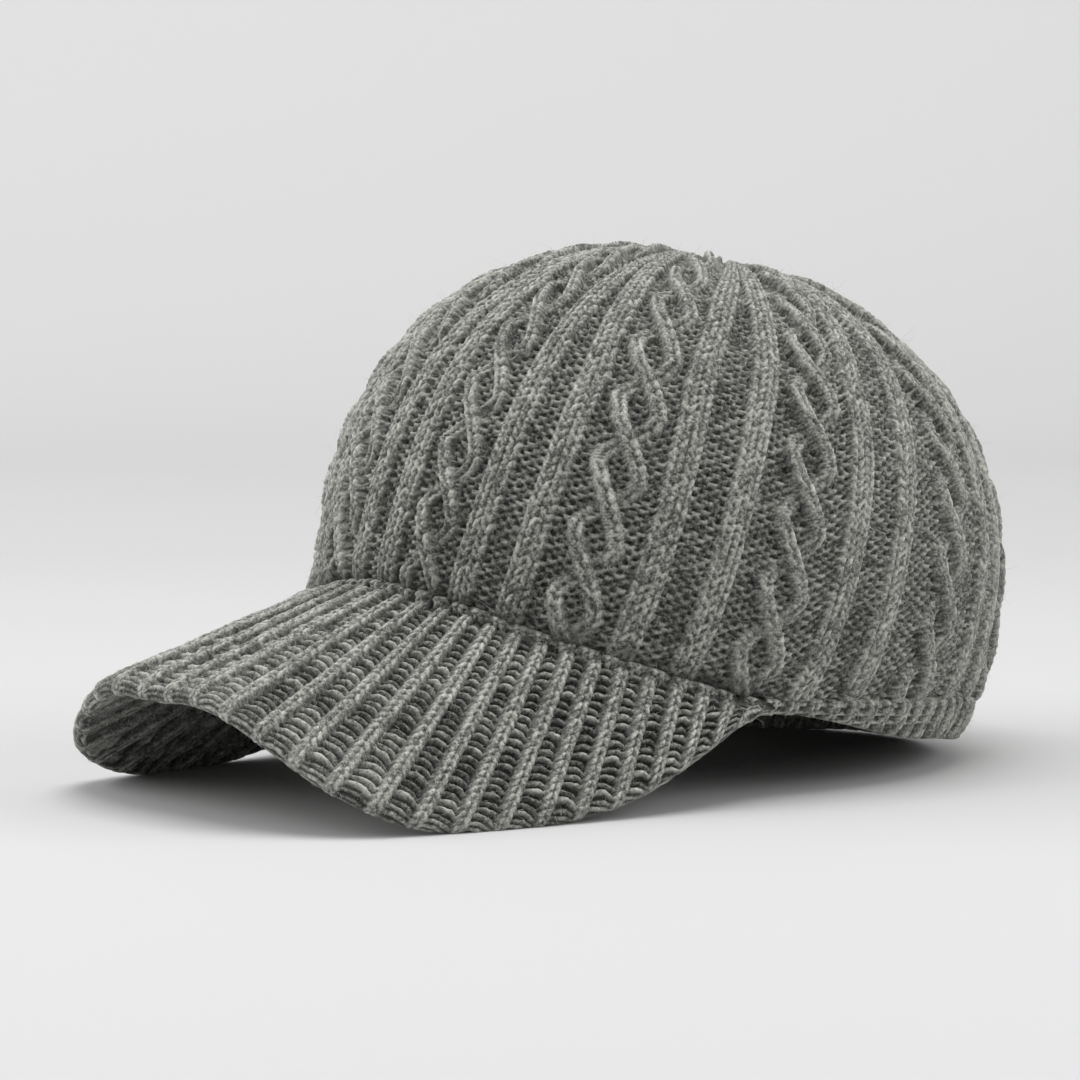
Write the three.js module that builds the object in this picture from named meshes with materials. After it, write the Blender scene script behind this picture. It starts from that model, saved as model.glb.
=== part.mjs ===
// Knit cap: a cable-knit crown, the ribbed band round its opening and a ribbed brim.
// Millimetres, +Z up. The brim points to -Y, and the cap rests on the back of
// its band and on the two corners of the arched brim.
import * as THREE from 'three';

const D2R = Math.PI / 180;

// Head opening and dome, measured on the outside of the raised ribs
const capLength = 206;          // front to back across the dome
const capWidth = 164;           // side to side across the dome
const wallHeight = 32;          // level of the widest ring over the lowest edge
const domeHeight = 87;          // from the widest ring to the tip
const edgeTaper = 0.03;         // how much narrower the lowest edge is, as a share
const domeBulge = 2.1;          // how long the dome stays full as it rises
const domeRound = 2.33;         // how blunt its top is
const capTilt = 13.9;           // the knitted axis leans back, in degrees

// Knitted wall
const groundThick = 2.8;        // sunken purl ground
const ribRelief = 1.6;          // knit ribs over the ground
const cableRelief = 2.4;        // cable strands over the ground
const seamGap = 0.36;           // between pieces that are sewn together
const edgeInset = 0.4;          // the crown's lowest row, which covers the seam
const settle = 1.1;             // how far the wool gives where the cap rests

// Pattern of the crown: a pair of knit ribs, then a cable on a purl panel
const ribSpread = 9.2;          // from the middle of a pair to each rib
const ribHalf = 4.1;            // half the width of a rib
const cableSwing = 6;           // from the middle of a cable to a parted strand
const strandHalf = 2.6;         // half the width of a cable strand
const cablePitch = 18.2;        // from crossing to crossing
const underShare = 0.4;         // of the way along, for the strand that goes under
const coilTurn = 6.5;           // how far the columns turn round as they rise, in degrees
const coilRise = 38;            // length over which most of that turn takes place

// Band and brim
const bandHeight = 11;          // at the back of the cap
const bandRidges = 90;
const bandRelief = 0.6;
const brimThick = 6;
const brimRidges = 34;
const brimRelief = 1.5;
const brimEnd = 79;             // where the brim leaves the band, degrees from the front
const brimReach = 64;           // from the dome to the rim, in front
const brimSpread = 0.902;       // half width of the rim, as a share of the dome's
const brimArch = 29.5;          // how high the rim arches over its corners

const halfLength = capLength / 2;
const halfWidth = capWidth / 2;
const wallThick = groundThick + ribRelief;
const brimHalfWidth = halfWidth * brimSpread;

// Middles of the rib pairs round one side, in degrees from the front. The cable
// after each pair has its first turn this many pitches over the crown's edge.
const pairs = [
  { at: 0, turn: 0.23 },
  { at: 25.5, turn: 0.64 },
  { at: 56.5, turn: 0.68 },
  { at: 87.5, turn: 0.29 },
  { at: 124, turn: 0.48 },
  { at: 160, turn: 0.16 },
];

// Lower edge of the crown and of the band round one side. The heights are
// shares of bandHeight over the plane of the opening.
const edges = [
  { at: 0, crown: 0.855, band: 0.1 },
  { at: 20, crown: 0.64, band: -0.1 },
  { at: 40, crown: 0.19, band: -0.5 },
  { at: 60, crown: -0.12, band: -0.75 },
  { at: 75, crown: -0.24, band: -0.64 },
  { at: 85, crown: 0, band: -0.4 },
  { at: 110, crown: 0.58, band: -0.34 },
  { at: 130, crown: 1, band: -0.05 },
  { at: 155, crown: 1.15, band: 0.07 },
  { at: 180, crown: 1, band: 0 },
];

// Middle of the brim's rounded edge, from the front to where it ends at the
// band. across is a share of brimHalfWidth, ahead a share of brimReach from
// the front of the dome, rise a share of brimArch.
const rim = [
  { across: 0, ahead: 1.012, rise: 1 },
  { across: 0.343, ahead: 1.005, rise: 0.965 },
  { across: 0.79, ahead: 0.776, rise: 0.32 },
  { across: 0.925, ahead: 0.402, rise: 0.003 },
  { across: 1.03, ahead: -0.372, rise: 0.1 },
  { across: 1.062, ahead: -1.16, rise: 0.86 },
];

// Smooth value between the rows of a table by its column "at", mirrored at its ends
function between(rows, at, column) {
  const last = rows.length - 1;
  const x = Math.min(Math.max(at, rows[0].at), rows[last].at);
  let i = 0;
  while (i < last - 1 && x > rows[i + 1].at) i += 1;
  const slope = (k) => {
    if (k <= 0 || k >= last) return 0;
    const run = rows[k + 1].at - rows[k - 1].at;
    return (rows[k + 1][column] - rows[k - 1][column]) / run;
  };
  const a = rows[i];
  const b = rows[i + 1];
  const run = b.at - a.at;
  const t = (x - a.at) / run;
  const rise = b[column] - a[column];
  const ease = t * t * (3 - 2 * t);
  const startBend = slope(i) * run * t * (1 - t) * (1 - t);
  const endBend = slope(i + 1) * run * t * t * (1 - t);
  return a[column] + rise * ease + startBend - endBend;
}

// Angle from the front folded to one side, 0 to 180
function fromFront(angle) {
  const turn = ((angle % 360) + 360) % 360;
  return turn > 180 ? 360 - turn : turn;
}

function edgeLevel(angle, column) {
  return bandHeight * between(edges, fromFront(angle), column);
}

// Radius of the dome at a level over its lowest edge, as a share of the widest ring
function ringShare(level) {
  if (level < wallHeight) {
    return 1 - edgeTaper * ((wallHeight - level) / wallHeight) ** 2;
  }
  const t = Math.min((level - wallHeight) / domeHeight, 1);
  return (1 - t ** domeBulge) ** (1 / domeRound);
}

const tipLevel = wallHeight + domeHeight;

// Point of the dome at an angle from the front and a level along the knitted axis
function domeSkin(angle, level) {
  const share = ringShare(level);
  const x = halfWidth * share * Math.sin(angle * D2R);
  const y = -halfLength * share * Math.cos(angle * D2R);
  const lift = halfLength * (1 - edgeTaper) * Math.sin(capTilt * D2R);
  const cos = Math.cos(capTilt * D2R);
  const sin = Math.sin(capTilt * D2R);
  return new THREE.Vector3(x, y * cos + level * sin, level * cos - y * sin + lift);
}

// The same point moved outward along the surface by a distance
function domePoint(angle, level, out) {
  const low = Math.min(level, tipLevel - 0.4);
  const step = 0.3;
  const round = domeSkin(angle + step, low).sub(domeSkin(angle - step, low));
  const rise = domeSkin(angle, low + step).sub(domeSkin(angle, low - step));
  const normal = round.cross(rise).normalize();
  return domeSkin(angle, level).addScaledVector(normal, out);
}

// Length up the wall from the opening, kept as a list of levels at equal steps
const climb = [];
{
  const steps = 400;
  const meanRadius = (halfLength + halfWidth) / 2;
  let length = 0;
  let before = null;
  for (let i = 0; i <= steps; i += 1) {
    const level = -bandHeight + (tipLevel + bandHeight) * Math.sin((i / steps) * 90 * D2R);
    const radius = meanRadius * ringShare(level);
    if (before) length += Math.hypot(level - before.level, radius - before.radius);
    before = { level, radius };
    climb.push({ level, length });
  }
}

function levelAt(length) {
  let i = 1;
  while (i < climb.length - 1 && climb[i].length < length) i += 1;
  const a = climb[i - 1];
  const b = climb[i];
  const t = Math.min((length - a.length) / (b.length - a.length), 1);
  return a.level + (b.level - a.level) * t;
}

function lengthAt(level) {
  let i = 1;
  while (i < climb.length - 1 && climb[i].level < level) i += 1;
  const a = climb[i - 1];
  const b = climb[i];
  return a.length + (b.length - a.length) * (level - a.level) / (b.level - a.level);
}

const tipLength = climb[climb.length - 1].length;

// Millimetres round the wall for each degree, at an angle and a level
function millimetresPerDegree(angle, level) {
  const x = halfWidth * Math.cos(angle * D2R);
  const y = halfLength * Math.sin(angle * D2R);
  return Math.hypot(x, y) * ringShare(level) * D2R;
}

// Builds a closed body from rings of points, in the order from the first end
// to the last. Neighbouring rings may have different counts of points.
class Body {
  constructor() {
    this.points = [];
    this.faces = [];
  }

  // The body stands lower by the give of the wool, and what would pass the
  // ground is pressed flat on it
  ring(points) {
    return points.map((p) => {
      this.points.push(new THREE.Vector3(p.x, p.y, Math.max(p.z - settle, 0)));
      return this.points.length - 1;
    });
  }

  // Faces between two rings; they look outward when the rings run
  // counterclockwise about the direction from the first to the second
  join(a, b) {
    let i = 0;
    let j = 0;
    while (i < a.length || j < b.length) {
      const nextA = (i + 1) / a.length;
      const nextB = (j + 1) / b.length;
      if (j >= b.length || (i < a.length && nextA <= nextB)) {
        this.faces.push(a[i % a.length], a[(i + 1) % a.length], b[j % b.length]);
        i += 1;
      } else {
        this.faces.push(a[i % a.length], b[(j + 1) % b.length], b[j % b.length]);
        j += 1;
      }
    }
  }

  mesh(name, color) {
    const geometry = new THREE.BufferGeometry();
    const flat = this.points.flatMap((p) => [p.x, p.y, p.z]);
    const faces = [];
    for (let i = 0; i < this.faces.length; i += 3) {
      const [a, b, c] = this.faces.slice(i, i + 3);
      if (a !== b && b !== c && c !== a) faces.push(a, b, c);
    }
    geometry.setAttribute('position', new THREE.Float32BufferAttribute(flat, 3));
    geometry.setIndex(faces);
    geometry.computeVertexNormals();
    const material = new THREE.MeshStandardMaterial({ color, roughness: 0.95 });
    const mesh = new THREE.Mesh(geometry, material);
    mesh.name = name;
    return mesh;
  }
}

// How far a strand is to the right of its cable's middle, -1 to 1, in a cycle
// of two pitches that starts at its left turn
function strandPlace(cycle) {
  const part = cycle - Math.floor(cycle);
  const under = part < underShare;
  const s = under ? part / underShare : (part - underShare) / (1 - underShare);
  const move = 0.45 * (2 * s - 1) - 0.55 * Math.cos(Math.PI * s);
  return under ? move : -move;
}

// Points where the pattern changes round one repeat, from the middle of a rib
// pair to the middle of the next. offset is the distance from the first middle,
// out the height over the ground. Where the dome narrows, the ribs of a pair
// move together first and the cable narrows last.
function patternColumns(width, cycle) {
  const need = 2 * (ribSpread + ribHalf) + 2 * (cableSwing + strandHalf) + 1;
  const squeeze = Math.min(1, width / need);
  const spread = ribSpread * squeeze ** 2;
  const half = Math.min(ribHalf * squeeze ** 0.6, spread * 0.9);
  const rib = (distance, relief) => ({ offset: distance, out: relief * ribRelief });
  const mirror = (column) => ({ offset: width - column.offset, out: column.out });
  const one = strandPlace(cycle) * cableSwing;
  const other = strandPlace(cycle + 0.5) * cableSwing;
  const centre = (one + other) / 2;
  const swing = Math.max(Math.abs(one - other) / 2, strandHalf * 0.6);
  const parted = Math.min(swing / cableSwing, 1);
  const cable = (distance, relief) => ({
    offset: width / 2 + (centre + distance) * squeeze ** 0.75,
    out: relief * cableRelief,
  });
  const start = [
    rib(0, 0),
    rib(spread - half, 0.1),
    rib(spread, 1),
    rib(spread + half, 0.1),
  ];
  return [
    ...start,
    cable(-swing - strandHalf, 0),
    cable(-swing, 0.95),
    cable(0, 1.15 - 1.05 * parted),
    cable(swing, 0.95),
    cable(swing + strandHalf, 0),
    ...start.slice(1).reverse().map(mirror),
  ];
}

// Rib pairs all the way round, each with the cable that follows it
const repeats = pairs.map((pair, i) => ({
  start: pair.at,
  end: i + 1 < pairs.length ? pairs[i + 1].at : 360 - pair.at,
  turn: pair.turn,
}));
for (const { start, end, turn } of repeats.slice(0, -1).reverse()) {
  repeats.push({ start: 360 - end, end: 360 - start, turn });
}

const crownRows = 28;
const smoothColumns = 44;

// One ring of the patterned outside of the crown
function crownRing(row) {
  const share = row / crownRows;
  const points = [];
  for (const { start, end, turn } of repeats) {
    const middle = (start + end) / 2;
    const foot = lengthAt(edgeLevel(middle, 'crown') + seamGap);
    const length = (tipLength - foot) * share;
    const width = (end - start) * millimetresPerDegree(middle, levelAt(foot + length));
    const cycle = (length / cablePitch - turn) / 2;
    const fade = Math.min(1, width / 14);
    for (const column of patternColumns(width, cycle)) {
      const out = row === 0 ? -edgeInset : column.out * fade - ribRelief;
      const base = start + (end - start) * column.offset / width;
      const edge = lengthAt(edgeLevel(base, 'crown') + seamGap);
      const rise = (tipLength - edge) * share;
      const coil = coilTurn * (1 - Math.exp(-rise / coilRise));
      points.push(domePoint(base + coil, levelAt(edge + rise), out));
    }
  }
  return points;
}

// One plain ring inside the wall, at a share of the way up to the tip
function liningRing(share) {
  const points = [];
  for (let i = 0; i < smoothColumns; i += 1) {
    const angle = repeats[0].start + 360 * i / smoothColumns;
    const edge = lengthAt(edgeLevel(angle, 'crown') + seamGap);
    const level = levelAt(edge + (tipLength - edge) * share);
    points.push(domePoint(angle, level, -wallThick));
  }
  return points;
}

function crown(color) {
  const body = new Body();
  const insideShares = [0.93, 0.8, 0.65, 0.5, 0.34, 0.17, 0];
  let before = body.ring([domePoint(0, tipLevel, -wallThick)]);
  for (const share of insideShares) {
    const ring = body.ring(liningRing(share)).reverse();
    body.join(ring, before);
    before = ring;
  }
  before = [...before].reverse();
  for (let row = 0; row < crownRows; row += 1) {
    const ring = body.ring(crownRing(row));
    body.join(before, ring);
    before = ring;
  }
  body.join(before, body.ring([domePoint(0, tipLevel, -ribRelief)]));
  return body.mesh('crown', color);
}

// The band hangs below the crown's edge and flares a little, with short ridges
function hemBand(color) {
  const section = [
    { down: 0, out: -wallThick, relief: 0 },
    { down: 0, out: -0.1, relief: 0.4 },
    { down: 0.45, out: -0.1, relief: 1 },
    { down: 0.9, out: -0.1, relief: 1 },
    { down: 1, out: -wallThick * 0.3, relief: 0 },
    { down: 1.08, out: -wallThick * 0.75, relief: 0 },
    { down: 0.88, out: -wallThick, relief: 0 },
  ];
  const columns = 2 * bandRidges;
  const body = new Body();
  const rings = [];
  for (let i = 0; i < columns; i += 1) {
    const angle = 360 * i / columns;
    const top = edgeLevel(angle, 'crown');
    const bottom = edgeLevel(angle, 'band');
    const crest = i % 2 === 0 ? 0 : -bandRelief;
    rings.push(body.ring(section.map(({ down, out, relief }) => {
      const level = top + (bottom - top) * down;
      return domePoint(angle, level, out + relief * crest);
    })));
  }
  rings.forEach((ring, i) => body.join(ring, rings[(i + 1) % columns]));
  return body.mesh('hem_band', color);
}

// Rim of the brim as a smooth curve from one end to the other
const rimCurve = (() => {
  const front = domeSkin(0, edgeLevel(0, 'crown'));
  const radius = brimThick / 2;
  const half = rim.map(({ across, ahead, rise }) => new THREE.Vector3(
    across * brimHalfWidth,
    front.y - ahead * brimReach,
    radius + rise * brimArch,
  ));
  const other = half.slice(1).map((p) => new THREE.Vector3(-p.x, p.y, p.z)).reverse();
  const curve = new THREE.CatmullRomCurve3([...other, ...half], false, 'centripetal');
  curve.arcLengthDivisions = 600;
  return curve;
})();

// Cross-section of the brim at a share of its width: along its top from the
// band to the rounded rim and back along its underside
function brimSection(share, crest) {
  const angle = brimEnd * (2 * share - 1);
  const level = edgeLevel(angle, 'crown') - seamGap;
  const top = domePoint(angle, level, seamGap);
  const centre = rimCurve.getPointAt(share);
  const reach = centre.distanceTo(top);
  const radius = Math.min(brimThick / 2, reach * 0.3);
  const root = domePoint(angle, level - 2 * radius, seamGap);
  const along = centre.clone().sub(top).normalize();
  const tangent = rimCurve.getTangentAt(share);
  const up = tangent.clone().cross(along).negate().normalize();
  if (up.z < 0) up.negate();
  const relief = crest * brimRelief * Math.min(1, reach / 20);
  const upper = centre.clone().addScaledVector(up, radius);
  const under = centre.clone().addScaledVector(up, -radius);
  const onTop = (k, swell) => top.clone().lerp(upper, k).addScaledVector(up, relief * swell);
  const below = (k, swell) => root.clone().lerp(under, k).addScaledVector(up, -relief * swell);
  const round = (turn) => {
    const size = radius + relief;
    const point = centre.clone().addScaledVector(up, size * Math.cos(turn * D2R));
    return point.addScaledVector(along, size * Math.sin(turn * D2R));
  };
  return [
    top,
    onTop(0.12, 0.6),
    onTop(0.4, 1),
    onTop(0.7, 1),
    round(0),
    round(50),
    round(90),
    round(130),
    round(180),
    below(0.6, 1),
    below(0.15, 0.5),
    root,
  ];
}

function brim(color) {
  const columns = 2 * brimRidges;
  const trim = 0.012;
  const body = new Body();
  let before = null;
  for (let i = 0; i <= columns; i += 1) {
    const share = trim + (1 - 2 * trim) * i / columns;
    const crest = i % 2 === 0 ? -0.5 : 0.5;
    const points = brimSection(share, crest);
    const ring = body.ring(points);
    if (before) {
      body.join(before, ring);
    } else {
      const middle = points.reduce((sum, p) => sum.add(p), new THREE.Vector3());
      body.join(body.ring([middle.divideScalar(points.length)]), ring);
    }
    if (i === columns) {
      const middle = points.reduce((sum, p) => sum.add(p), new THREE.Vector3());
      body.join(ring, body.ring([middle.divideScalar(points.length)]));
    }
    before = ring;
  }
  return body.mesh('brim', color);
}

const cap = new THREE.Group();
cap.name = 'knit_cap';
cap.add(crown('#8c8b86'), hemBand('#858480'), brim('#83827d'));

// The middle of the whole cap, front to back, stands over the origin
const size = new THREE.Box3().setFromObject(cap);
const middle = (size.min.y + size.max.y) / 2;
for (const piece of cap.children) piece.geometry.translate(0, -middle, 0);

export default cap;
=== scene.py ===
import math

import bmesh
import bpy
import numpy as np
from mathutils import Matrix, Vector


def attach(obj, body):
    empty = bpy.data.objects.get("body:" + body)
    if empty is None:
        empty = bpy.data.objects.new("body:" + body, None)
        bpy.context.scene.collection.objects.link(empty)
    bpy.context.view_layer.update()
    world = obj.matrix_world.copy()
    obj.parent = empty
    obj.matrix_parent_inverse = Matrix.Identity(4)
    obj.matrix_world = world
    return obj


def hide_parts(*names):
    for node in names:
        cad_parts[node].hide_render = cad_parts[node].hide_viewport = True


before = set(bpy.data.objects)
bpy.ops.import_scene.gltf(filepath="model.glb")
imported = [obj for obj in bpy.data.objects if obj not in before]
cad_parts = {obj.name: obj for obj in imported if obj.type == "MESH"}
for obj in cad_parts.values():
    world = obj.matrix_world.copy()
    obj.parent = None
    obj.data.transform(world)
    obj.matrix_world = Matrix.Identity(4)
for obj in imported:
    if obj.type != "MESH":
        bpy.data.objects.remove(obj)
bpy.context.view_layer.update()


# Crown
# Cable-knit dome of grey marl wool, a matt, slightly hairy yarn spun from
# lighter and darker fibres. Round it run eleven repeats of a pair of knit ribs
# and a cable on a purl panel, with every stitch raised in the mesh.

FIBRE_SCALE = 1250
PLY_SCALE = 620
PATCH_SCALE = 60


def relief_node(nodes, name):
    attribute = nodes.new("ShaderNodeAttribute")
    attribute.attribute_name = name
    return attribute


def wool(name, light, dark, painted_shade_deepest):
    # Mottled from dark to light, with painted shade darkening it down between the stitches
    material = bpy.data.materials.new(name)
    material.use_nodes = True
    nodes = material.node_tree.nodes
    links = material.node_tree.links
    shader = nodes["Principled BSDF"]
    shader.inputs["Roughness"].default_value = 0.9
    shader.inputs["Specular IOR Level"].default_value = 0.2
    shader.inputs["Sheen Weight"].default_value = 0.25
    shader.inputs["Sheen Roughness"].default_value = 0.45
    shader.inputs["Sheen Tint"].default_value = (0.9, 0.9, 0.86, 1)

    place = nodes.new("ShaderNodeTexCoord")
    relief = relief_node(nodes, "relief")
    stitch = relief_node(nodes, "stitch")

    def noise_node(scale, detail):
        node = nodes.new("ShaderNodeTexNoise")
        node.inputs["Scale"].default_value = scale
        node.inputs["Detail"].default_value = detail
        links.new(place.outputs["Object"], node.inputs["Vector"])
        return node

    fibre = noise_node(FIBRE_SCALE, 3)
    fibre.inputs["Roughness"].default_value = 0.65
    ply = noise_node(PLY_SCALE, 2)
    patch = noise_node(PATCH_SCALE, 3)

    def math_node(operation, a, b):
        node = nodes.new("ShaderNodeMath")
        node.operation = operation
        for socket, value in zip(node.inputs, (a, b)):
            if isinstance(value, (int, float)):
                socket.default_value = value
            else:
                links.new(value, socket)
        return node.outputs[0]

    mottle = fibre.outputs["Fac"]
    for layer, weight in ((ply, 0.5), (patch, 0.25), (stitch, 0.18)):
        part = math_node("MULTIPLY", layer.outputs["Fac"], weight)
        mottle = math_node("ADD", mottle, part)
    spread = nodes.new("ShaderNodeMapRange")
    spread.inputs["From Min"].default_value = 0.78
    spread.inputs["From Max"].default_value = 1.13
    links.new(mottle, spread.inputs["Value"])
    tint = nodes.new("ShaderNodeMix")
    tint.data_type = "RGBA"
    tint.inputs["A"].default_value = (*dark, 1)
    tint.inputs["B"].default_value = (*light, 1)
    links.new(spread.outputs["Result"], tint.inputs["Factor"])
    # Painted shade: the colour is multiplied by the relief attribute, mapped from the deepest
    # share up to 1, so it darkens down between the stitches
    shade = nodes.new("ShaderNodeMix")
    shade.data_type = "RGBA"
    shade.blend_type = "MULTIPLY"
    shade.inputs["Factor"].default_value = 1
    painted_groove_shade = nodes.new("ShaderNodeMapRange")
    painted_groove_shade.inputs["To Min"].default_value = painted_shade_deepest
    painted_groove_shade.inputs["To Max"].default_value = 1
    links.new(relief.outputs["Fac"], painted_groove_shade.inputs["Value"])
    links.new(tint.outputs["Result"], shade.inputs["A"])
    links.new(painted_groove_shade.outputs["Result"], shade.inputs["B"])
    links.new(shade.outputs["Result"], shader.inputs["Base Color"])

    bump = nodes.new("ShaderNodeBump")
    bump.inputs["Strength"].default_value = 0.9
    bump.inputs["Distance"].default_value = 0.0005
    hair = math_node("ADD", fibre.outputs["Fac"], ply.outputs["Fac"])
    links.new(hair, bump.inputs["Height"])
    links.new(bump.outputs["Normal"], shader.inputs["Normal"])
    return material


LIGHT = (0.57, 0.57, 0.525)
DARK = (0.12, 0.121, 0.111)
# Share of the colour left in the deepest painted shade between the stitches
PAINTED_SHADE_DEEPEST = 0.11
WOOL = wool("grey_marl_wool", LIGHT, DARK, PAINTED_SHADE_DEEPEST)

HALF_LENGTH = 103
HALF_WIDTH = 82
WALL_HEIGHT = 32
DOME_HEIGHT = 87
TIP_LEVEL = WALL_HEIGHT + DOME_HEIGHT
EDGE_TAPER = 0.03
DOME_BULGE = 2.1
DOME_ROUND = 2.33
TILT = math.radians(13.9)
LIFT = HALF_LENGTH * (1 - EDGE_TAPER) * math.sin(TILT)
BAND_HEIGHT = 11
SEAM_GAP = 0.36
WALL = 4.4
GROUND = -1.6
SETTLE = 1.1
MIDDLE = -27.0

# Heights of the seam and of the hem, in band heights, by degrees from the front
EDGE_AT = np.array([0, 20, 40, 60, 75, 85, 110, 130, 155, 180.0])
CROWN_EDGE = np.array([0.855, 0.64, 0.19, -0.12, -0.24, 0, 0.58, 1, 1.15, 1])
BAND_EDGE = np.array([0.1, -0.1, -0.5, -0.75, -0.64, -0.4, -0.34, -0.05, 0.07, 0])


def smooth_table(at, values, x):
    # A smooth curve through the values at the given places
    last = len(at) - 1
    slope = np.zeros(last + 1)
    slope[1:-1] = (values[2:] - values[:-2]) / (at[2:] - at[:-2])
    x = np.clip(x, at[0], at[-1])
    i = np.clip(np.searchsorted(at, x, side="left") - 1, 0, last - 1)
    run = at[i + 1] - at[i]
    t = (x - at[i]) / run
    value = values[i] + (values[i + 1] - values[i]) * t * t * (3 - 2 * t)
    value += slope[i] * run * t * (1 - t) ** 2
    return value - slope[i + 1] * run * t * t * (1 - t)


def from_front(angle):
    turn = np.mod(angle, 360)
    return np.where(turn > 180, 360 - turn, turn)


def edge_level(angle, values):
    return BAND_HEIGHT * smooth_table(EDGE_AT, values, from_front(angle))


def ring_share(level):
    # How wide the dome is at a level, as a share of its full width
    low = 1 - EDGE_TAPER * ((WALL_HEIGHT - level) / WALL_HEIGHT) ** 2
    t = np.clip((level - WALL_HEIGHT) / DOME_HEIGHT, 0, 1)
    return np.where(level < WALL_HEIGHT, low, (1 - t ** DOME_BULGE) ** (1 / DOME_ROUND))


def dome_skin(angle, level):
    share = ring_share(level)
    turn = np.radians(angle)
    x = HALF_WIDTH * share * np.sin(turn)
    y = -HALF_LENGTH * share * np.cos(turn)
    back = y * math.cos(TILT) + level * math.sin(TILT) - MIDDLE
    up = level * math.cos(TILT) - y * math.sin(TILT) + LIFT - SETTLE
    return np.stack([x, back, up], axis=-1)


def unit(v):
    return v / np.maximum(np.linalg.norm(v, axis=-1, keepdims=True), 1e-9)


def dome_point(angle, level, out):
    # A point at a distance out from the tilted dome's surface
    low = np.minimum(level, TIP_LEVEL - 0.4)
    step = 0.3
    around = dome_skin(angle + step, low) - dome_skin(angle - step, low)
    rise = dome_skin(angle, low + step) - dome_skin(angle, low - step)
    normal = unit(np.cross(around, rise))
    return dome_skin(angle, level) + normal * np.asarray(out)[..., None]


def climb_table():
    # Levels, and how far up the wall each of them lies
    steps = np.linspace(0, 90, 401)
    level = -BAND_HEIGHT + (TIP_LEVEL + BAND_HEIGHT) * np.sin(np.radians(steps))
    radius = (HALF_LENGTH + HALF_WIDTH) / 2 * ring_share(level)
    step = np.hypot(np.diff(level), np.diff(radius))
    return level, np.concatenate([[0], np.cumsum(step)])


CLIMB_LEVEL, CLIMB_LENGTH = climb_table()
TIP_LENGTH = CLIMB_LENGTH[-1]


def level_at(length):
    return np.interp(length, CLIMB_LENGTH, CLIMB_LEVEL)


def length_at(level):
    return np.interp(level, CLIMB_LEVEL, CLIMB_LENGTH)


def chance(*keys):
    # A fixed random share from 0 to 1 for each combination of whole numbers
    mixed = np.zeros(np.broadcast(*keys).shape)
    for k, key in enumerate(keys):
        mixed = mixed + np.floor(key) * (12.9898 + 65.417 * k)
    return np.mod(np.abs(np.sin(mixed) * 43758.5453), 1)


def wander(x, y, scale, seed):
    # Smooth noise from -1 to 1 between random corners of a grid
    gx, gy = x / scale, y / scale
    ix, iy = np.floor(gx), np.floor(gy)
    fx, fy = gx - ix, gy - iy
    fx, fy = fx * fx * (3 - 2 * fx), fy * fy * (3 - 2 * fy)
    a = chance(ix, iy, seed) * (1 - fx) + chance(ix + 1, iy, seed) * fx
    b = chance(ix, iy + 1, seed) * (1 - fx) + chance(ix + 1, iy + 1, seed) * fx
    return 2 * (a * (1 - fy) + b * fy) - 1


ROW = 2.5
FRONT_END = 84
FLARE = 5.5
FLARE_START = 12
FLARE_RUN = 30


def fillet(angle):
    # How far the knit sweeps out into the brim: most on the left side
    turn = np.mod(angle + 180, 360) - 180
    left = np.clip((-turn - FLARE_START) / FLARE_RUN, 0, 1)
    left = left * np.clip((FRONT_END + turn) / 8, 0, 1)
    return left * left * (3 - 2 * left)


def knit_wale(x, y, width, wale, row_height):
    # One column of V stitches. x is from its middle, y along it. Gives the
    # height from 0 to 1 and a random share for each stitch.
    best = np.zeros(np.broadcast(x, y).shape)
    share = np.zeros_like(best) + 0.5
    rows = y / row_height
    for side in (-1, 1):
        shift = 0.12 * side
        for back in (0, 1):
            row = np.floor(rows + shift) - back
            random = chance(wale, row, side + 3)
            along = (rows + shift - row + 0.12 * (random - 0.5)) / 1.3
            lobe = 2 * np.clip(along, 0, 1) - 1
            middle = side * width * (0.09 + 0.30 * along) + 0.06 * width * (random - 0.5)
            across = (x - middle) / (width * 0.19)
            height = np.sqrt(np.clip(1 - across ** 2 - np.abs(lobe) ** 2.4, 0, 1))
            height = height * (0.8 + 0.3 * chance(wale, row, side + 23)) - 0.08 * along
            share = np.where(height > best, random, share)
            best = np.maximum(best, height)
    return best, share


def purl_ground(x, y, width, row_height):
    # Sunken purl side: for each row the tops and the feet of its loops, as
    # short arcs that interlock
    best = np.zeros(np.broadcast(x, y).shape)
    share = np.zeros_like(best) + 0.5
    x = x + 0.22 * width * wander(x / 3, y, row_height * 1.4, 61)
    turn = 2 * math.pi * x / width
    for side in (1, -1):
        rows = y / row_height - 0.25 * (1 - side) + side * 0.15 * np.cos(turn)
        row = np.floor(rows)
        wale = np.floor(x / width + (0.5 if side > 0 else 0))
        random = chance(wale, row, 7 + side)
        across = (rows - row - 0.5 + 0.12 * (random - 0.5)) / 0.25
        height = np.sqrt(np.clip(1 - across ** 2, 0, 1))
        height = height * np.clip(0.66 + 0.62 * side * np.cos(turn), 0, 1) ** 0.6
        height = height * (0.72 + 0.42 * random)
        share = np.where(height > best, random, share)
        best = np.maximum(best, height)
    return best, share


def purl_arcs(x, y, width, row_height, wale):
    # One sunken column of stacked arcs, one arc a row
    x = x + 0.16 * width * wander(y, wale * 9 + 0 * y, 3.2, 53)
    edge = np.clip(2 * np.abs(x) / width, 0, 1.3)
    rows = y / row_height - 0.4 * edge ** 2 + 0.12 * wander(x * 2, y + wale * 7, 2.4, 59)
    row = np.floor(rows)
    random = chance(wale + 0 * row, row, 9)
    across = (rows - row - 0.5 + 0.2 * (random - 0.5)) / (0.27 + 0.1 * random)
    height = np.sqrt(np.clip(1 - across ** 2, 0, 1))
    height = height * (0.6 + 0.5 * random) * np.clip(1.35 - 0.85 * edge, 0, 1)
    return height, random


def ridge(x, half, power=3):
    return np.clip(1 - np.abs(x / half) ** power, 0, 1) ** 0.5


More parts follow.
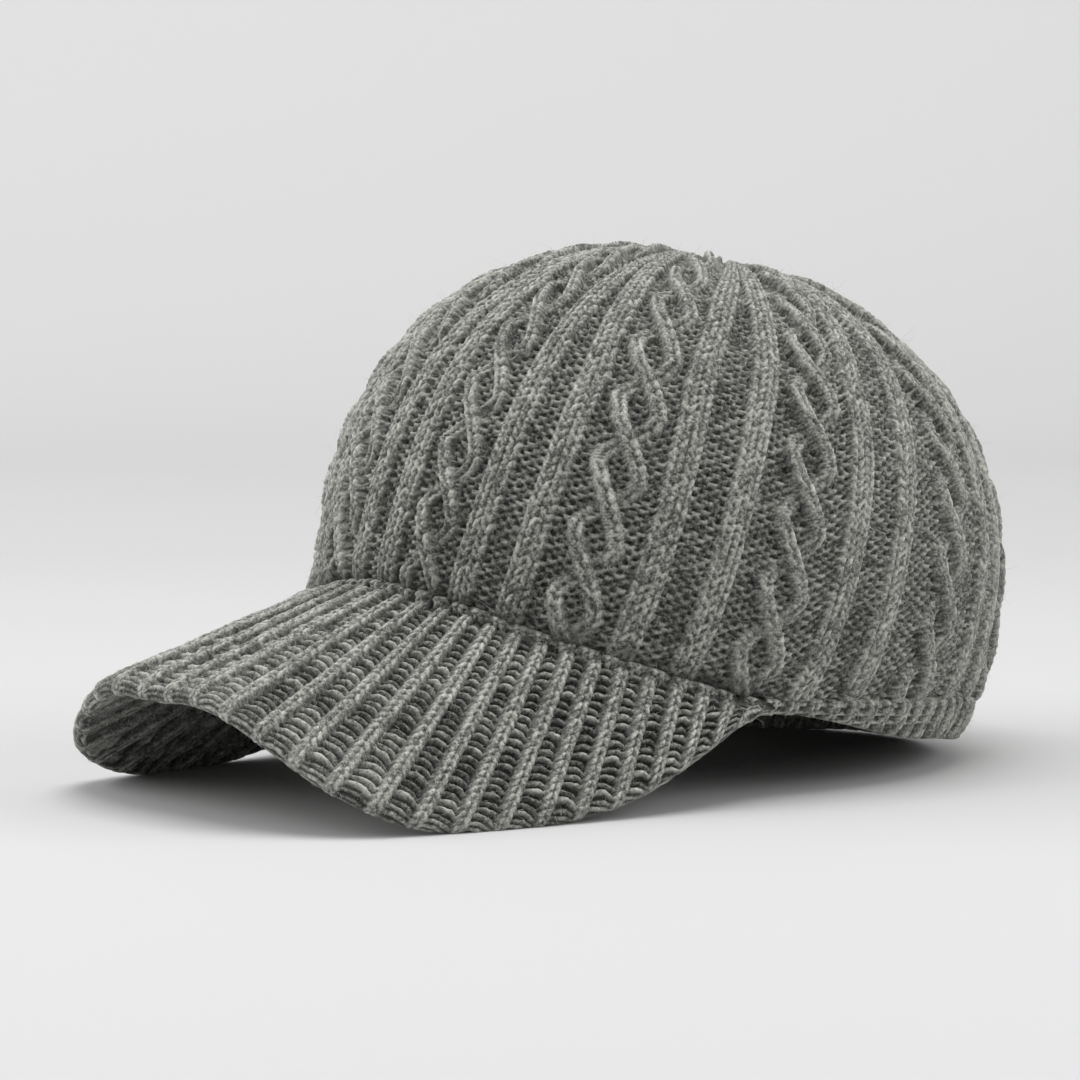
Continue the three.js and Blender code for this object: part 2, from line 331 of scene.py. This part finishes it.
RIB_SPREAD = 8.8
RIB_HALF = 4.2
RIB_WALE = 4.1
RIB_STITCH = 4.2
PURL_WIDTH = 4.4
SWING = 5.9
STRAND = 2.5
STRAND_STITCH = 4.9
STRAND_ROW = 2.8
UNDER_SHARE = 0.40
PITCH = 18.2
FIRST_TURN = [4.2, 11.6, 12.3, 5.3, 8.7, 2.9, 8.7, 5.3, 12.3, 11.6, 4.2]


def strand_path(cycle):
    # Where a strand lies, -1 to 1, and how far it is on its way over (1) or
    # under (-1) the other, for a cycle that starts at its left turn
    cycle = np.mod(cycle, 1)
    under = cycle < UNDER_SHARE
    s = np.where(under, cycle / UNDER_SHARE, (cycle - UNDER_SHARE) / (1 - UNDER_SHARE))
    move = 0.55 * (-np.cos(math.pi * s)) + 0.45 * (2 * s - 1)
    lift = np.sin(math.pi * s)
    return np.where(under, move, -move), np.where(under, -lift, lift)


def crown_relief(f, width, length, repeat):
    # Height over the dome, for a share f of the repeat and a length up the
    # wall. Also gives each stitch's random share and a painted shade for the colour,
    # light on the stitches that stand proud and dark down in the purl and where a strand goes
    # under.
    need = 2 * (RIB_SPREAD + RIB_HALF) + 2 * (SWING + STRAND) + 2
    squeeze = np.minimum(1, width / need)
    spread = RIB_SPREAD * squeeze ** 2
    half = np.minimum(RIB_HALF * squeeze ** 0.6, spread)
    inner = np.sin(math.pi * f)
    x = f * width + 0.5 * inner * wander(length, repeat * 40 + 0 * f, 14, 11)
    near = x - width * (f > 0.5)
    skew = length + 0.7 * wander(near, length, 9, 5)
    gutter = np.abs(near) < spread
    panel = np.where(gutter, near, x - width / 2) / squeeze ** 0.75
    ground, random = purl_ground(panel + 40 * (1 - gutter) * repeat, skew, PURL_WIDTH, ROW)
    height = GROUND - 1.0 + 1.25 * ground
    share = random
    # Painted shade: the purl ground's colour darkens down in its hollows
    painted_knit_shade = 0.72 * ground
    for side in (0, 1):
        middle = np.where(side == 0, spread, width - spread)
        d = (x - middle) * RIB_HALF / np.maximum(half, 0.5)
        wale = np.floor(d / RIB_WALE)
        number = wale + 10 * repeat + 3 * side
        off = d - (wale + 0.5) * RIB_WALE
        stitches, random = knit_wale(off, skew, RIB_STITCH, number, ROW)
        body = ridge(d, RIB_HALF)
        edge = np.clip(body * 2.5, 0, 1)
        rib = GROUND - 0.3 + 1.5 * body + 0.85 * stitches * edge
        inside = (np.abs(d) < RIB_HALF) & (rib > height)
        height = np.where(inside, rib, height)
        share = np.where(inside, random, share)
        # Painted shade: darker at the rib's edges and between its stitches
        painted_shading = (0.15 + 0.85 * stitches) * (0.5 + 0.5 * edge)
        painted_knit_shade = np.where(inside, painted_shading, painted_knit_shade)
    first = np.array(FIRST_TURN)[np.clip(repeat.astype(int), 0, 10)]
    cycle = (length - first) / (2 * PITCH)
    narrow = squeeze ** 0.75
    for strand in (0, 0.5):
        place, lift = strand_path(cycle + strand)
        ahead, _ = strand_path(cycle + strand + 0.01)
        slope = (ahead - place) * SWING / (0.01 * 2 * PITCH)
        straight = 1 / np.sqrt(1 + slope ** 2)
        d = ((x - width / 2) / narrow - SWING * place) * straight
        rise = np.where(lift > 0, 0.9 * lift, 2.1 * lift)
        number = 50 + 10 * repeat + 6 * strand
        along = length / straight ** 0.5
        stitches, random = knit_wale(d, along, STRAND_STITCH, number + 0 * d, STRAND_ROW)
        body = ridge(d, STRAND, 2.4)
        edge = np.clip(body * 2.5, 0, 1)
        rope = GROUND - 0.3 + (1.9 + rise) * body ** 0.8 + 1.0 * stitches * edge
        inside = (np.abs(d) < STRAND) & (rope > height)
        height = np.where(inside, rope, height)
        share = np.where(inside, random, share)
        painted_shading = (0.2 + 0.8 * stitches) * (0.5 + 0.5 * edge)
        # Painted shade where the strand dives under the other one
        painted_shading = painted_shading * np.where(lift < 0, 1 + 0.4 * lift, 1)
        painted_knit_shade = np.where(inside, painted_shading, painted_knit_shade)
    return height, share, painted_knit_shade


# Degrees from the front at which each pair of ribs starts
PAIRS = [0, 25.5, 56.5, 87.5, 124, 160, 200, 236, 272.5, 303.5, 334.5, 360]
COIL_TURN = 6.2
COIL_RISE = 38
CROWN_COLUMNS = 76
CROWN_ROWS = 320
INSIDE_ROWS = [1, 0.95, 0.82, 0.64, 0.42, 0.2, 0]
TIP_SHARE = 0.1
REPEAT_DEGREES = 32
FULL_REPEAT = 18
SEAM_REACH = 6
SEAM_SINK = 1.9
CROWN_FLARE = 15
BAND_FROM = 92
HEM_DRAW = 1.4
HEM_DRAW_REACH = 16
HEM_LIP = 0.7
HEM_LIP_REACH = 2.5


def grid_piece(name, points, attributes):
    # A mesh from a grid of points in millimetres, with its attributes
    rows, columns = points.shape[:2]
    bm = bmesh.new()
    bmesh.ops.create_grid(bm, x_segments=columns - 1, y_segments=rows - 1, size=1)
    mesh = bpy.data.meshes.new(name)
    bm.to_mesh(mesh)
    bm.free()
    mesh.vertices.foreach_set("co", (points.reshape(-1, 3) / 1000).ravel())
    for key, values in attributes.items():
        layer = mesh.attributes.new(key, "FLOAT", "POINT")
        layer.data.foreach_set("value", np.asarray(values, dtype=float).ravel())
    mesh.shade_smooth()
    mesh.materials.append(WOOL)
    mesh.update()
    piece = bpy.data.objects.new(name, mesh)
    bpy.context.collection.objects.link(piece)
    return piece


def weld(piece, close=False):
    # Joins the points that meet and, if asked, closes the ends
    bm = bmesh.new()
    bm.from_mesh(piece.data)
    bmesh.ops.remove_doubles(bm, verts=bm.verts, dist=0.00001)
    if close:
        ends = [edge for edge in bm.edges if edge.is_boundary]
        bmesh.ops.holes_fill(bm, edges=ends, sides=0)
    else:
        bmesh.ops.dissolve_degenerate(bm, edges=bm.edges, dist=1e-7)
    bm.to_mesh(piece.data)
    bm.free()


def crown_rows(angle, share):
    edge = length_at(edge_level(angle, CROWN_EDGE) + SEAM_GAP)
    return edge, level_at(edge + (TIP_LENGTH - edge) * share)


def per_degree(angle, level):
    turn = np.radians(angle)
    size = np.hypot(HALF_WIDTH * np.cos(turn), HALF_LENGTH * np.sin(turn))
    return size * ring_share(level) * math.pi / 180


def crown_part(name, repeats):
    # Makes a run of repeats and gives back its outer grid
    steps = np.arange(CROWN_COLUMNS) / CROWN_COLUMNS
    f = np.concatenate([r + steps for r in repeats] + [[repeats[-1] + 1.0]])
    repeat = np.minimum(np.floor(f), repeats[-1])
    share_x = f - repeat
    pairs = np.array(PAIRS)
    start, end = pairs[repeat.astype(int)], pairs[repeat.astype(int) + 1]
    base = start + (end - start) * share_x
    share = np.linspace(0, 1, CROWN_ROWS + 1)[:, None]
    angle = base[None, :] + 0 * share
    edge, level = crown_rows(angle, share + 0 * angle)
    length = (TIP_LENGTH - edge) * share
    mid = (start + end)[None, :] / 2 + 0 * angle
    mid_edge, mid_level = crown_rows(mid, share + 0 * angle)
    width = (end - start)[None, :] * per_degree(mid, mid_level)
    height, random, painted_shade = crown_relief(
        share_x[None, :] + 0 * angle, np.maximum(width, 0.5), length, repeat[None, :] + 0 * angle
    )
    tip = np.clip((1 - share) / TIP_SHARE, 0, 1)
    fade = np.clip(per_degree(45, level) * REPEAT_DEGREES / FULL_REPEAT, 0, 1) * tip
    height = height * fade + (GROUND + 0.6) * (1 - fade)
    around = from_front(base)[None, :] * 1.6 + 0 * length
    height = height + 0.35 * tip * wander(length, around, 22, 31)
    front = np.clip((FRONT_END - from_front(angle)) / 10, 0, 1)
    soft = 1 + 0.3 * wander(base, 0 * base, 2.5, 71)[None, :]
    root = front * np.clip(1 - length / (SEAM_REACH * soft), 0, 1) ** 1.5
    hem = 1 - np.clip((BAND_FROM - from_front(angle)) / 10, 0, 1)
    draw = HEM_DRAW * np.clip(1 - length / HEM_DRAW_REACH, 0, 1) ** 2
    height = height - hem * (draw + HEM_LIP * np.clip(1 - length / HEM_LIP_REACH, 0, 1))
    sweep = fillet(angle)
    root = root * (1 - 0.6 * sweep)
    height = height * (1 - 0.3 * root) - SEAM_SINK * root
    # Painted shade in the crease along the seam: the colour darkens where the knit sinks into it
    painted_shade = painted_shade * (1 - 0.85 * root)
    height = height + FLARE * sweep * np.clip(1 - length / CROWN_FLARE, 0, 1) ** 2
    coil = COIL_TURN * (1 - np.exp(-length / COIL_RISE))
    outer = dome_point(angle + coil, level, height)

    inside = np.array(INSIDE_ROWS)[:, None]
    angle_in = base[None, :] + 0 * inside
    level_in = crown_rows(angle_in, inside + 0 * angle_in)[1]
    inner = dome_point(angle_in, level_in, -WALL + 0 * angle_in)
    points = np.concatenate([outer, inner, outer[:1]])
    flat = np.zeros(inner.shape[:2])
    piece = grid_piece(name, points, {
        # The relief attribute is painted shade for the colour; the inside of the crown gets a
        # flat painted shade of 0.3
        "relief": np.concatenate([painted_shade, flat + 0.3, painted_shade[:1]]),
        "stitch": np.concatenate([random, flat + 0.5, random[:1]]),
    })
    weld(piece)
    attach(piece, "root")
    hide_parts("crown")
    return outer


CROWN = [
    crown_part("crown_front_right", [0, 1, 2]),
    crown_part("crown_back_right", [3, 4, 5]),
    crown_part("crown_back_left", [6, 7]),
    crown_part("crown_front_left", [8, 9, 10]),
]


# Hem band
# Short ribbed band of the same wool round the head opening, one knit column
# and one purl column in turn. It is knitted on below the crown.

BAND_RIDGES = 90
BAND_COLUMNS = 10 * BAND_RIDGES
BAND_KNIT_HALF = 2.1
BAND_STITCH = 3.9
SAG_MIDDLE = 232
SAG_HALF = 46
SAG_MOST = 6
TABLE = 0.02


def hem_band():
    # Rows of the band's section: share of the way down, distance out, and how
    # much of the knit's height shows there
    path = [(0, -WALL, 0), (-0.12, -3.4, 0), (-0.1, -2.4, 0.5), (-0.06, -1.7, 0.8)]
    path += [(k, -1.1 - 1.9 * k * k, 1) for k in np.linspace(0.0, 0.93, 20)]
    path += [(0.985, -3.4, 0.8), (1.02, -4.0, 0.4), (1.03, -4.8, 0.2), (0.98, -5.4, 0)]
    path += [(0.85, -5.4, 0), (0.6, -5, 0), (0.3, -WALL, 0), (0, -WALL, 0)]
    down, out, relief = (np.array(v)[:, None] for v in zip(*path))
    angle = np.linspace(0, 360, BAND_COLUMNS + 1)[None, :]
    top = edge_level(angle, CROWN_EDGE)
    bottom = edge_level(angle, BAND_EDGE)
    # On the left of the back the band sags down to the table
    clear = dome_point(angle, bottom, -3 + 0 * angle)[..., 2]
    sag = np.clip(1.8 - 1.8 * ((angle - SAG_MIDDLE) / SAG_HALF) ** 2, 0, 1)
    bottom = bottom - sag * np.clip(clear + 0.5, 0, SAG_MOST) / math.cos(TILT)
    level = top + (bottom - top) * down
    width = 360 / BAND_RIDGES * per_degree(angle, 0 * angle)
    position = angle / 360 * BAND_RIDGES
    ridge_number = np.floor(position)
    d = (position - ridge_number - 0.5) * width
    along = (top - level) + 30
    number = np.mod(ridge_number, BAND_RIDGES) + 400
    stitches, random = knit_wale(d, along + 0 * d, BAND_STITCH, number, ROW)
    body = ridge(d, BAND_KNIT_HALF, 2.5) + 0 * along
    ground, random_ground = purl_ground(d + width / 2, along + 0 * d, width, ROW)
    height = -1.5 + 0.8 * ground
    knit = -1.0 + 0.9 * body + 1.0 * stitches * np.clip(body * 2.5, 0, 1)
    inside = (np.abs(d) < BAND_KNIT_HALF) & (knit > height)
    height = np.where(inside, knit, height)
    height = height + 0.5 * wander(angle * 1.5 + 0 * along, along + 0 * angle, 7, 3)
    # Painted shade: darker down in the purl hollows between the knit columns
    painted_shade = np.where(inside, 0.2 + 0.8 * stitches, 0.8 * ground)
    random = np.where(inside, random, random_ground)
    points = dome_point(angle + 0 * level, level, out + relief * height)
    points[..., 2] = np.maximum(points[..., 2], TABLE)
    piece = grid_piece("hem_band", points[:, ::-1], {
        # On the rows that turn under and inside, the painted shade goes no darker than 0.45
        "relief": np.where(relief < 0.9, np.maximum(painted_shade, 0.45), painted_shade)[:, ::-1],
        "stitch": random[:, ::-1],
    })
    weld(piece)
    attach(piece, "root")
    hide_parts("hem_band")
    return points


BAND = hem_band()


# Brim
# Thick padded brim, sewn on in front of the band. Its cover is knitted outward
# from the seam, in narrow ridges of single V stitches with broad purl bands
# between them, and is wrapped round the edge.

BRIM_THICK = 6
BRIM_END = 79
BRIM_RIDGES = 34
BRIM_COLUMNS = 20
BRIM_TRIM = 0.012
BRIM_KNIT_HALF = 2.0
BRIM_ROW = 2.6
BRIM_FLARE = 55
UPPER_ROWS = 176
ROUND_ROWS = 20
UNDER_ROWS = 30
REACH = 64
BRIM_HALF_WIDTH = 0.902 * HALF_WIDTH
ARCH = 29.5
# The right half of the rim, as shares of the half width, reach and arch
RIM = np.array([
    [0, 1.012, 1],
    [0.343, 1.005, 0.965],
    [0.79, 0.776, 0.32],
    [0.925, 0.402, 0.003],
    [1.03, -0.372, 0.1],
    [1.062, -1.16, 0.86],
])


def rim_curve():
    # Points along the middle of the rim from left to right, with their shares
    front = dome_skin(0.0, edge_level(0.0, CROWN_EDGE))
    across, ahead, rise = RIM.T
    half = np.stack([
        across * BRIM_HALF_WIDTH,
        front[1] - ahead * REACH,
        BRIM_THICK / 2 + rise * ARCH - SETTLE,
    ], axis=1)
    knots = np.concatenate([(half[1:] * [-1, 1, 1])[::-1], half])
    ends = np.concatenate([[2 * knots[0] - knots[1]], knots, [2 * knots[-1] - knots[-2]]])
    points = []
    for i in range(len(knots) - 1):
        p0, p1, p2, p3 = ends[i:i + 4]
        d = [np.linalg.norm(b - a) ** 0.5 for a, b in ((p0, p1), (p1, p2), (p2, p3))]
        m1 = ((p1 - p0) / d[0] - (p2 - p0) / (d[0] + d[1]) + (p2 - p1) / d[1]) * d[1]
        m2 = ((p2 - p1) / d[1] - (p3 - p1) / (d[1] + d[2]) + (p3 - p2) / d[2]) * d[1]
        t = np.linspace(0, 1, 80, endpoint=i == len(knots) - 2)[:, None]
        points.append(
            p1 + m1 * t
            + (-3 * p1 + 3 * p2 - 2 * m1 - m2) * t ** 2
            + (2 * p1 - 2 * p2 + m1 + m2) * t ** 3
        )
    points = np.concatenate(points)
    run = np.concatenate([[0], np.cumsum(np.linalg.norm(np.diff(points, axis=0), axis=1))])
    return points, run / run[-1]


RIM_POINTS, RIM_SHARE = rim_curve()


def on_rim(share):
    return np.stack([np.interp(share, RIM_SHARE, RIM_POINTS[:, k]) for k in range(3)], axis=-1)


def brim_half(name, first, last):
    # Makes the ridges from first to last and gives back their grid
    ridges = np.arange(first * BRIM_COLUMNS, last * BRIM_COLUMNS + 1) / BRIM_COLUMNS
    share = BRIM_TRIM + (1 - 2 * BRIM_TRIM) * ridges / BRIM_RIDGES
    angle = BRIM_END * (2 * share - 1)
    level = edge_level(angle, CROWN_EDGE) - SEAM_GAP
    top = dome_point(angle, level, SEAM_GAP + 0 * angle)
    centre = on_rim(share)
    reach = np.linalg.norm(centre - top, axis=1)
    radius = np.minimum(BRIM_THICK / 2, reach * 0.3)
    root = dome_point(angle, level - 2 * radius, SEAM_GAP + 0 * angle)
    along = unit(centre - top)
    tangent = unit(on_rim(share + 0.002) - on_rim(share - 0.002))
    up = unit(np.cross(along, tangent))
    up = np.where(up[:, 2:] < 0, -up, up)
    upper = centre + up * radius[:, None]
    under = centre - up * radius[:, None]

    rows = [dome_point(angle, level + 3 * SEAM_GAP, -3 + 0 * angle)]
    normals = [up]
    rounding = [0]
    for k in np.linspace(0, 1, UPPER_ROWS):
        rows.append(top + (upper - top) * k)
        normals.append(up)
        rounding.append(max(0, (k - 0.93) / 0.14))
    for turn in np.linspace(0, 180, ROUND_ROWS)[1:-1]:
        normal = up * math.cos(math.radians(turn)) + along * math.sin(math.radians(turn))
        rows.append(centre + normal * radius[:, None])
        normals.append(normal)
        rounding.append(min(1, 0.5 + turn / 60))
    for k in np.linspace(1, 0, UNDER_ROWS):
        rows.append(root + (under - root) * k)
        normals.append(-up)
        rounding.append(max(0, (k - 0.8) / 0.2))
    rows, normals = np.array(rows), np.array(normals)
    rounding = np.array(rounding)[:, None]
    step = np.linalg.norm(np.diff(rows, axis=0), axis=2)
    path = np.concatenate([np.zeros((1, len(share))), np.cumsum(step, axis=0)])

    spacing = np.linalg.norm(np.gradient(rows, axis=1), axis=2) * BRIM_COLUMNS
    number = np.clip(np.floor(ridges), first, last - 1)[None, :]
    d = (ridges[None, :] - number - 0.5) * spacing
    knit_half = np.minimum(BRIM_KNIT_HALF, spacing * 0.23)
    skew = path + 0.5 * wander(path, ridges * 9 + 0 * path, 11, 47)
    stitches, random = knit_wale(d, skew, 2 * knit_half, number + 800, BRIM_ROW)
    body = ridge(d, knit_half * 1.12, 2.4)
    edge = np.clip(body * 2.5, 0, 1)
    knit = -0.6 + 0.6 * body + 0.9 * stitches * edge
    gap = d - np.sign(d + 1e-9) * spacing / 2
    band = np.maximum(spacing - 2 * knit_half, 2.4)
    column = np.round(ridges)[None, :] + 900
    across = band * 1.12
    ground, random_ground = purl_arcs(gap, skew + 0.9 * column, across, BRIM_ROW, column)
    purl = -2.3 + 1.9 * ground + 1.1 * rounding
    inside = (np.abs(d) < knit_half * 1.12) & (knit > purl)
    height = np.where(inside, knit, purl)
    height = height * (1 - 0.7 * rounding) - 0.8 * rounding
    # Painted shade: darker down in the purl bands between the ridges and at the ridges' edges
    painted_shading = (0.25 + 0.75 * stitches) * (0.5 + 0.5 * edge)
    painted_shade = np.where(inside, painted_shading, 0.78 * ground)
    random = np.where(inside, random, random_ground)
    height = height + 0.35 * wander(path, ridges * 8 + 0 * path, 16, 41)
    fade = np.clip(reach / 20, 0.25, 1)[None, :]
    sunk = np.where(inside, 3.2, 5.5)
    seam = np.clip(1 - (path - path[1]) / sunk, 0, 1) ** 1.4
    height = height * fade * (1 - 0.3 * seam) - SEAM_SINK * seam
    sweep = fillet(angle)[None, :] * (normals[..., 2] > 0)
    height = height + FLARE * sweep * np.clip(1 - (path - path[1]) / BRIM_FLARE, 0, 1) ** 2
    height[0] = 0
    # Painted shade in the crease along the seam
    painted_shade = painted_shade * (1 - 0.9 * seam)
    height = height * np.clip((path[-1][None, :] - path) / 3, 0, 1)
    points = rows + normals * height[..., None]
    points[..., 2] = np.maximum(points[..., 2], TABLE)
    points = np.concatenate([points, points[:1]])
    piece = grid_piece(name, points[:, ::-1], {
        "relief": np.concatenate([painted_shade, painted_shade[:1]])[:, ::-1],
        "stitch": np.concatenate([random, random[:1]])[:, ::-1],
    })
    weld(piece, close=True)
    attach(piece, "root")
    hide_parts("brim")
    return points


BRIM = [
    brim_half("brim_left", 0, BRIM_RIDGES // 2),
    brim_half("brim_right", BRIM_RIDGES // 2, BRIM_RIDGES),
]


# Loose fibres
# Short fine fibres that stand out of the yarn all over, with a few long curly
# ones among them. Each is a thin three-sided spike, rooted in its stitch.

FIBRES = {"crown": 12000, "brim": 4200, "hem_band": 1100}
CURLED = 0.06
CURLED_LENGTH = (4, 8)
CURLED_THICK = 0.04
STRAIGHT_LENGTH = (1.0, 2.6)
STRAIGHT_THICK = (0.045, 0.08)
FIBRE_ROOT = 0.3
CURLS = 4
# Rows of the grids that lie on the outside
BRIM_OUTER = slice(1, 210)
BAND_OUTER = slice(4, 23)


def surface_samples(grids, count, random):
    # Random points of the outer grids, as many to each patch as its area asks,
    # with the outward normal at each
    places, normals = [], []
    for grid in grids:
        around = grid[1:-1, 2:] - grid[1:-1, :-2]
        rise = grid[2:, 1:-1] - grid[:-2, 1:-1]
        places.append(grid[1:-1, 1:-1].reshape(-1, 3))
        normals.append(np.cross(around, rise).reshape(-1, 3))
    places, normals = np.concatenate(places), np.concatenate(normals)
    area = np.linalg.norm(normals, axis=1)
    chosen = random.choice(len(places), count, p=area / area.sum())
    return places[chosen], unit(normals[chosen])


def spikes(stations, thick, side, other):
    # Closed three-sided tapers through the given stations, as points and faces
    points = []
    for k, centre in enumerate(stations[:-1]):
        for turn in (0, 120, 240):
            out = side * math.cos(math.radians(turn)) + other * math.sin(math.radians(turn))
            points.append(centre + out * (thick * (1 - 0.15 * k))[:, None])
    points.append(stations[-1])
    faces = [(2, 1, 0)]
    rings = len(stations) - 1
    for ring in range(rings):
        low = 3 * ring
        for k in range(3):
            n = (k + 1) % 3
            if ring == rings - 1:
                faces.append((low + k, low + n, 3 * rings))
            else:
                faces.append((low + k, low + n, low + 3 + n))
                faces.append((low + k, low + 3 + n, low + 3 + k))
    return np.stack(points, axis=1), np.array(faces)


def fuzz(node, grids):
    random = np.random.default_rng(17 + len(node))
    place, normal = surface_samples(grids, FIBRES[node], random)
    count = len(place)
    curled = random.random(count) < CURLED
    spread = unit(random.normal(size=(count, 3)))
    long = random.uniform(*CURLED_LENGTH, count)
    short = random.uniform(*STRAIGHT_LENGTH, count)
    length = np.where(curled, long, short)[:, None]
    first = unit(normal * 0.8 + spread)
    thick = np.where(curled, CURLED_THICK, random.uniform(*STRAIGHT_THICK, count))
    side = unit(np.cross(first, spread + 0.01))
    other = np.cross(first, side)
    start = place - FIBRE_ROOT * normal
    stations = [start]
    heading = first
    for _ in range(CURLS):
        stations.append(stations[-1] + heading * length / CURLS)
        heading = unit(heading + 0.8 * unit(random.normal(size=(count, 3))) + 0.15 * normal)
    straight = [start, start + first * length]
    mesh_points, mesh_faces, used = [], [], 0
    for chosen, path in ((~curled, straight), (curled, stations)):
        at = [station[chosen] for station in path]
        points, faces = spikes(at, thick[chosen], side[chosen], other[chosen])
        points[..., 2] = np.maximum(points[..., 2], TABLE)
        step = np.arange(len(points))[:, None, None] * points.shape[1]
        mesh_faces.append((step + faces).reshape(-1, 3) + used)
        mesh_points.append(points.reshape(-1, 3))
        used += points.shape[0] * points.shape[1]
    mesh = bpy.data.meshes.new("fuzz_" + node)
    mesh.from_pydata(np.concatenate(mesh_points) / 1000, [], np.concatenate(mesh_faces))
    mesh.materials.append(FUZZ)
    piece = bpy.data.objects.new("fuzz_" + node, mesh)
    bpy.context.collection.objects.link(piece)
    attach(piece, "root")
    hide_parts(node)


def fuzz_material():
    material = bpy.data.materials.new("loose_wool_fibre")
    material.use_nodes = True
    nodes = material.node_tree.nodes
    links = material.node_tree.links
    shader = nodes["Principled BSDF"]
    shader.inputs["Roughness"].default_value = 0.7
    shader.inputs["Specular IOR Level"].default_value = 0.3
    place = nodes.new("ShaderNodeTexCoord")
    noise = nodes.new("ShaderNodeTexNoise")
    noise.inputs["Scale"].default_value = 300
    links.new(place.outputs["Object"], noise.inputs["Vector"])
    tint = nodes.new("ShaderNodeMix")
    tint.data_type = "RGBA"
    tint.inputs["A"].default_value = (0.3, 0.3, 0.28, 1)
    tint.inputs["B"].default_value = (0.75, 0.75, 0.7, 1)
    links.new(noise.outputs["Fac"], tint.inputs["Factor"])
    links.new(tint.outputs["Result"], shader.inputs["Base Color"])
    return material


FUZZ = fuzz_material()
fuzz("crown", CROWN)
fuzz("brim", [half[BRIM_OUTER] for half in BRIM])
fuzz("hem_band", [BAND[BAND_OUTER, ::-1]])


# Studio
# Seamless pale floor that curves up into a backdrop, with a large soft light
# on each side and a weaker one overhead.

AZIMUTH = math.radians(51.0)
VIEW = (math.sin(AZIMUTH), -math.cos(AZIMUTH), 0)


def studio_material():
    material = bpy.data.materials.new("studio")
    material.use_nodes = True
    nodes = material.node_tree.nodes
    links = material.node_tree.links
    shader = nodes["Principled BSDF"]
    shader.inputs["Roughness"].default_value = 0.9
    shader.inputs["Specular IOR Level"].default_value = 0.1
    place = nodes.new("ShaderNodeTexCoord")
    ahead = nodes.new("ShaderNodeVectorMath")
    ahead.operation = "DOT_PRODUCT"
    ahead.inputs[1].default_value = VIEW
    links.new(place.outputs["Object"], ahead.inputs[0])
    # Painted light: the colour goes from 0.54 on the floor round the cap up to 0.74 high on the
    # backdrop, setting how bright each part of the backdrop looks
    shade = nodes.new("ShaderNodeMapRange")
    shade.inputs["From Min"].default_value = -2.0
    shade.inputs["From Max"].default_value = -0.7
    shade.inputs["To Min"].default_value = 0.74
    shade.inputs["To Max"].default_value = 0.54
    links.new(ahead.outputs["Value"], shade.inputs["Value"])
    links.new(shade.outputs["Result"], shader.inputs["Base Color"])
    return material


ELEVATION = math.radians(4.8)
FIELD = math.radians(14)
DISTANCE = 1218.4
AIM_SIDE = -28.7
AIM_UP = 63.45
SENSOR = 36

back = Vector((math.sin(AZIMUTH) * math.cos(ELEVATION),
               -math.cos(AZIMUTH) * math.cos(ELEVATION), math.sin(ELEVATION)))
right = Vector((math.cos(AZIMUTH), math.sin(AZIMUTH), 0))
aim = right * AIM_SIDE + Vector((0, -MIDDLE, AIM_UP - SETTLE))
camera_data = bpy.data.cameras.new("camera")
camera_data.sensor_width = SENSOR
camera_data.sensor_height = SENSOR
camera_data.lens = SENSOR / 2 / math.tan(FIELD / 2)
camera_data.clip_end = 50
camera = bpy.data.objects.new("camera", camera_data)
bpy.context.collection.objects.link(camera)
camera.location = (aim + back * DISTANCE) / 1000
camera.rotation_euler = back.to_track_quat("Z", "Y").to_euler()
bpy.context.scene.camera = camera


BACKDROP_START = 1.3
BACKDROP_RADIUS = 0.9
BACKDROP_HALF = 4


def floor():
    behind = -Vector((back.x, back.y, 0)).normalized()
    side = Vector((-behind.y, behind.x, 0))
    profile = [(-3.0, 0), (-1.0, 0), (0.5, 0), (BACKDROP_START, 0)]
    for turn in np.radians(np.arange(6, 91, 6)):
        ahead = BACKDROP_START + BACKDROP_RADIUS * math.sin(turn)
        profile.append((ahead, BACKDROP_RADIUS - BACKDROP_RADIUS * math.cos(turn)))
    profile += [(2.2, 2.0), (2.2, 4.0)]
    bm = bmesh.new()
    rows = []
    for ahead, up in profile:
        middle = behind * ahead + Vector((0, 0, up))
        sides = (-BACKDROP_HALF, 0, BACKDROP_HALF)
        rows.append([bm.verts.new(middle + side * s) for s in sides])
    for a, b in zip(rows, rows[1:]):
        for k in range(2):
            bm.faces.new((a[k], a[k + 1], b[k + 1], b[k]))
    bmesh.ops.recalc_face_normals(bm, faces=bm.faces)
    mesh = bpy.data.meshes.new("backdrop")
    bm.to_mesh(mesh)
    bm.free()
    mesh.shade_smooth()
    mesh.materials.append(studio_material())
    piece = bpy.data.objects.new("backdrop", mesh)
    bpy.context.collection.objects.link(piece)


floor()


def area_light(name, location, aim_at, size, power):
    data = bpy.data.lights.new(name, "AREA")
    data.shape = "RECTANGLE"
    data.size, data.size_y = size
    data.energy = power
    light = bpy.data.objects.new(name, data)
    light.location = location
    direction = Vector(location) - Vector(aim_at)
    light.rotation_euler = direction.to_track_quat("Z", "Y").to_euler()
    bpy.context.collection.objects.link(light)


area_light("overhead", (0.1, 0.0, 1.6), (0, 0, 0), (1.2, 1.2), 20)
area_light("left", (-1.1, -1.4, 1.1), (0, 0, 0.05), (2.4, 1.8), 34)
area_light("right", (1.5, 1.4, 1.0), (0, 0, 0.05), (2.2, 1.6), 26)
world = bpy.data.worlds.new("world")
world.use_nodes = True
background = world.node_tree.nodes["Background"]
background.inputs["Color"].default_value = (1, 1, 1, 1)
background.inputs["Strength"].default_value = 0.4
bpy.context.scene.world = world
bpy.context.scene.view_settings.view_transform = "Standard"
